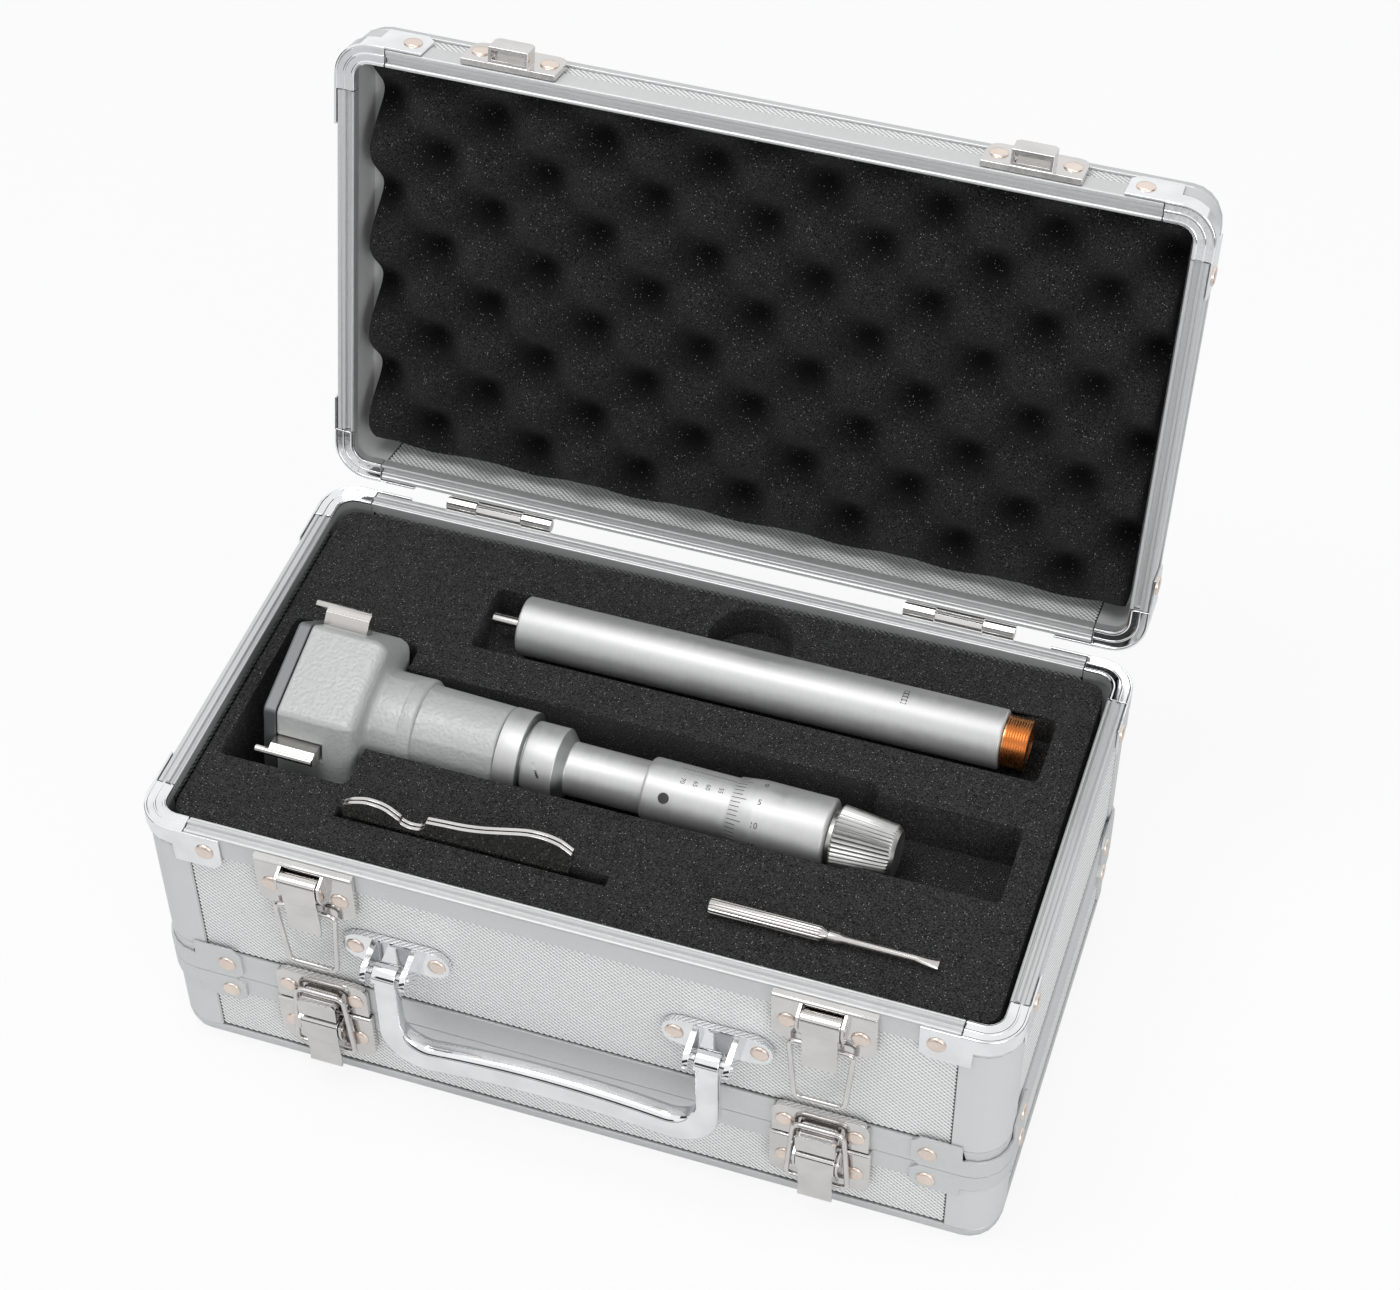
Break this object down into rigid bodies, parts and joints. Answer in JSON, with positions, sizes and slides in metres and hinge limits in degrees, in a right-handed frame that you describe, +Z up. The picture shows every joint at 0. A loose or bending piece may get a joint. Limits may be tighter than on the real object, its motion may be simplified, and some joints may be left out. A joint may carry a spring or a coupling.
{
  "type": "instrument case with bore micrometer",
  "caption": "Aluminium three-tier instrument case with hinged lid, draw latches and handle, open to show a bore micrometer, its extension, a flat wrench and a screwdriver in black foam",
  "frame": {"origin": "middle of the flat underside that the case stands on", "axes": "+X right along the front, +Y towards the hinges, +Z up; the front face is at -Y"},
  "size_m": [0.302, 0.2475, 0.291],
  "materials": {
    "panel_sheet": "silver sheet with a fine diamond texture",
    "band_aluminium": "smooth satin extrusion",
    "chrome": "bright chrome plate",
    "nickel": "nickel plate",
    "wire_nickel": "nickel plated wire",
    "foam": "black fine-grained foam",
    "hammer_paint": "light grey hammertone paint",
    "cover_grey": "dark grey satin",
    "satin_chrome": "satin chrome",
    "ground_steel": "ground steel",
    "thread_brass": "orange brass"
  },
  "bodies": {
    "base": {"base_shell": "panel_sheet", "base_rim": "band_aluminium", "base_edge_trim": "band_aluminium", "lower_latch_plate_left": "nickel", "lower_latch_plate_right": "nickel", "base_hinge_leaf_left": "nickel", "base_hinge_leaf_right": "nickel"},
    "tray": {"tray_shell": "panel_sheet", "tray_bottom_rim": "band_aluminium", "tray_top_rim": "band_aluminium", "tray_foam": "foam", "tray_corner_cap_back_right": "chrome", "tray_corner_cap_back_left": "chrome", "tray_corner_cap_front_left": "chrome", "tray_corner_cap_front_right": "chrome", "tray_keeper_left": "nickel", "tray_keeper_right": "nickel", "upper_latch_plate_left": "nickel", "upper_latch_plate_right": "nickel", "handle_bracket_left": "chrome", "handle_bracket_right": "chrome", "tray_hinge_leaf_left": "nickel", "tray_hinge_leaf_right": "nickel", "tray_lower_hinge_leaf_left": "nickel", "tray_lower_hinge_leaf_right": "nickel"},
    "lid": {"lid_shell": "panel_sheet", "lid_edge_trim": "band_aluminium", "lid_rim": "band_aluminium", "lid_foam": "foam", "lid_corner_cap_back_right": "chrome", "lid_corner_cap_back_left": "chrome", "lid_corner_cap_front_left": "chrome", "lid_corner_cap_front_right": "chrome", "lid_keeper_left": "nickel", "lid_keeper_right": "nickel", "lid_hinge_leaf_left": "nickel", "lid_hinge_leaf_right": "nickel"},
    "handle": {"handle": "chrome"},
    "upper_lever_left": {"upper_latch_lever_left": "nickel"},
    "upper_bail_left": {"upper_latch_bail_left": "wire_nickel"},
    "upper_lever_right": {"upper_latch_lever_right": "nickel"},
    "upper_bail_right": {"upper_latch_bail_right": "wire_nickel"},
    "lower_lever_left": {"lower_latch_lever_left": "nickel"},
    "lower_bail_left": {"lower_latch_bail_left": "wire_nickel"},
    "lower_lever_right": {"lower_latch_lever_right": "nickel"},
    "lower_bail_right": {"lower_latch_bail_right": "wire_nickel"},
    "micrometer": {"mic_housing": "hammer_paint", "mic_end_cover": "cover_grey", "mic_barrel": "satin_chrome"},
    "anvil_back": {"mic_anvil_back": "ground_steel"},
    "anvil_front": {"mic_anvil_front": "ground_steel"},
    "anvil_bottom": {"mic_anvil_bottom": "ground_steel"},
    "spindle": {"mic_spindle": "ground_steel"},
    "thimble": {"mic_thimble": "satin_chrome"},
    "ratchet_knob": {"mic_ratchet_knob": "ground_steel"},
    "extension": {"extension_tube": "satin_chrome", "extension_thread_ring": "thread_brass"},
    "push_rod": {"extension_push_rod": "ground_steel"},
    "wrench": {"wrench": "nickel"},
    "screwdriver": {"screwdriver": "nickel"}
  },
  "joints": [
    {"name": "tray_hinge", "type": "hinge", "parent": "base", "child": "tray", "pos_m": [0, 0.0867, 0.04135], "axis": [1, 0, 0], "range_deg": [-103.55, 0]},
    {"name": "lid_hinge", "type": "hinge", "parent": "tray", "child": "lid", "pos_m": [0, 0.0867, 0.11725], "axis": [-1, 0, 0], "range_deg": [-103.55, 0], "deforming": ["lid_foam"]},
    {"name": "handle_hinge", "type": "hinge", "parent": "tray", "child": "handle", "pos_m": [-0.003, -0.0938, 0.081], "axis": [-1, 0, 0], "range_deg": [0, 100]},
    {"name": "upper_lever_left", "type": "hinge", "parent": "tray", "child": "upper_lever_left", "pos_m": [-0.089, -0.0901, 0.1122], "axis": [1, 0, 0], "range_deg": [-120, 0]},
    {"name": "upper_bail_left", "type": "hinge", "parent": "upper_lever_left", "child": "upper_bail_left", "pos_m": [-0.089, -0.0886, 0.0975], "axis": [-1, 0, 0], "range_deg": [0, 180]},
    {"name": "lower_lever_left", "type": "hinge", "parent": "base", "child": "lower_lever_left", "pos_m": [-0.089, -0.0901, 0.0359], "axis": [-1, 0, 0], "range_deg": [0, 120]},
    {"name": "lower_bail_left", "type": "hinge", "parent": "lower_lever_left", "child": "lower_bail_left", "pos_m": [-0.089, -0.0886, 0.0212], "axis": [-1, 0, 0], "range_deg": [-120, 0]},
    {"name": "upper_lever_right", "type": "hinge", "parent": "tray", "child": "upper_lever_right", "pos_m": [0.089, -0.0901, 0.1122], "axis": [1, 0, 0], "range_deg": [-120, 0]},
    {"name": "upper_bail_right", "type": "hinge", "parent": "upper_lever_right", "child": "upper_bail_right", "pos_m": [0.089, -0.0886, 0.0975], "axis": [-1, 0, 0], "range_deg": [0, 180]},
    {"name": "lower_lever_right", "type": "hinge", "parent": "base", "child": "lower_lever_right", "pos_m": [0.089, -0.0901, 0.0359], "axis": [-1, 0, 0], "range_deg": [0, 120]},
    {"name": "lower_bail_right", "type": "hinge", "parent": "lower_lever_right", "child": "lower_bail_right", "pos_m": [0.089, -0.0886, 0.0212], "axis": [-1, 0, 0], "range_deg": [-120, 0]},
    {"name": "mic_lift", "type": "slide", "parent": "tray", "child": "micrometer", "axis": [0, 0, 1], "range_m": [0, 0.06]},
    {"name": "anvil_back_feed", "type": "slide", "parent": "micrometer", "child": "anvil_back", "axis": [0.0117, 0.6819, 0.7314], "range_m": [-0.00301, 0.00201]},
    {"name": "anvil_front_feed", "type": "slide", "parent": "micrometer", "child": "anvil_front", "axis": [-0.0167, -0.9742, 0.225], "range_m": [-0.00301, 0.00201]},
    {"name": "anvil_bottom_feed", "type": "slide", "parent": "micrometer", "child": "anvil_bottom", "axis": [0.005, 0.2923, -0.9563], "range_m": [-0.00301, 0.00201]},
    {"name": "spindle_feed", "type": "slide", "parent": "micrometer", "child": "spindle", "axis": [-0.9999, 0.0171, 0], "range_m": [-0.006, 0.004]},
    {"name": "thimble_turn", "type": "hinge", "parent": "spindle", "child": "thimble", "pos_m": [0.04448, -0.01161, 0.1064], "axis": [0.9999, -0.0171, 0], "range_deg": [-4340, 2900]},
    {"name": "ratchet_spin", "type": "hinge", "parent": "thimble", "child": "ratchet_knob", "pos_m": [0.07447, -0.01212, 0.1064], "axis": [0.9999, -0.0171, 0], "continuous": true},
    {"name": "extension_lift", "type": "slide", "parent": "tray", "child": "extension", "axis": [0, 0, 1], "range_m": [0, 0.06]},
    {"name": "push_rod_slide", "type": "slide", "parent": "extension", "child": "push_rod", "axis": [1, 0, 0], "range_m": [-0.002, 0.006]},
    {"name": "wrench_lift", "type": "slide", "parent": "tray", "child": "wrench", "axis": [0, 0, 1], "range_m": [0, 0.06]},
    {"name": "screwdriver_lift", "type": "slide", "parent": "tray", "child": "screwdriver", "axis": [0, 0, 1], "range_m": [0, 0.06]}
  ],
  "couplings": [
    {"joint": "anvil_back_feed", "follows": "spindle_feed", "ratio": 0.5},
    {"joint": "anvil_front_feed", "follows": "spindle_feed", "ratio": 0.5},
    {"joint": "anvil_bottom_feed", "follows": "spindle_feed", "ratio": 0.5},
    {"joint": "thimble_turn", "follows": "spindle_feed", "rad_per_m": 12566},
    {"joint": "lower_bail_left", "follows": "lower_lever_left", "ratio": -1},
    {"joint": "lower_bail_right", "follows": "lower_lever_right", "ratio": -1}
  ]
}
